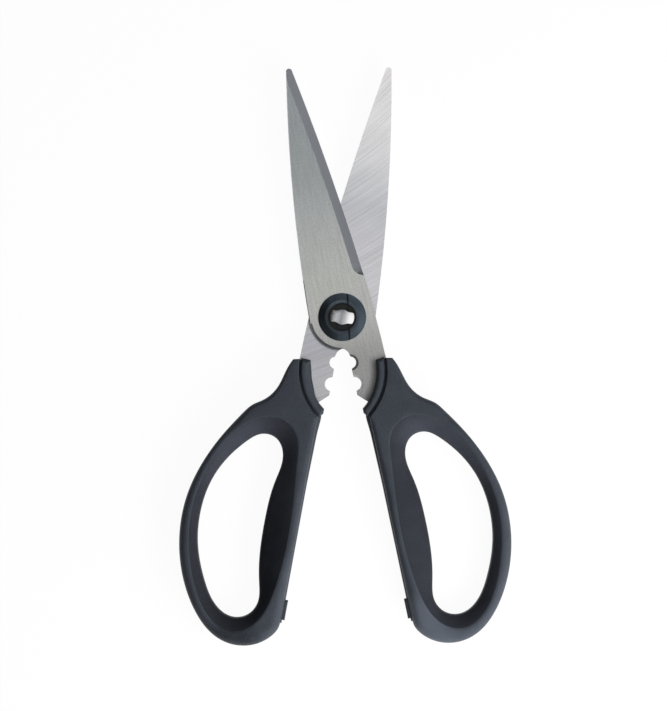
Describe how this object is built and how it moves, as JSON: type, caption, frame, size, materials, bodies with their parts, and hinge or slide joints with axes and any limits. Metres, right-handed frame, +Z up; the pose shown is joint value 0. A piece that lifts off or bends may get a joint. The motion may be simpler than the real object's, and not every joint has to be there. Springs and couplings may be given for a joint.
{
  "type": "kitchen shears",
  "caption": "Take-apart kitchen shears lying open: crossed steel blades on a keyed pivot stud, stripping notches below it, moulded dark handles with closed, cushioned finger loops.",
  "frame": {"origin": "centre of the plan box of the shears as they lie open, on the surface under the handles", "axes": "+Y towards the tips, midway between the blades; +Z up, along the pivot; +X to the front half's handle"},
  "size_m": [0.1246, 0.2166, 0.012],
  "materials": {
    "blade_steel": "brushed",
    "stud_steel": "polished",
    "washer_steel": "satin",
    "ring_plastic": "satin",
    "core_plastic": "satin",
    "cover_plastic": "satin",
    "cushion_rubber": "matte",
    "pad_rubber": "matte"
  },
  "bodies": {
    "front_half": {"front_blade": "blade_steel", "pivot_ring": "ring_plastic", "front_handle_core": "core_plastic", "front_handle_cover": "cover_plastic", "front_finger_cushion": "cushion_rubber", "front_stop_pad": "pad_rubber"},
    "back_half": {"back_blade": "blade_steel", "pivot_stud": "stud_steel", "stud_washer": "washer_steel", "back_handle_core": "core_plastic", "back_handle_cover": "cover_plastic", "back_finger_cushion": "cushion_rubber", "back_stop_pad": "pad_rubber"}
  },
  "joints": [
    {"name": "blade_pivot", "type": "hinge", "parent": "front_half", "child": "back_half", "pos_m": [0, 0.01465, 0.006], "axis": [0, 0, -1], "range_deg": [-22.6, 80]}
  ]
}
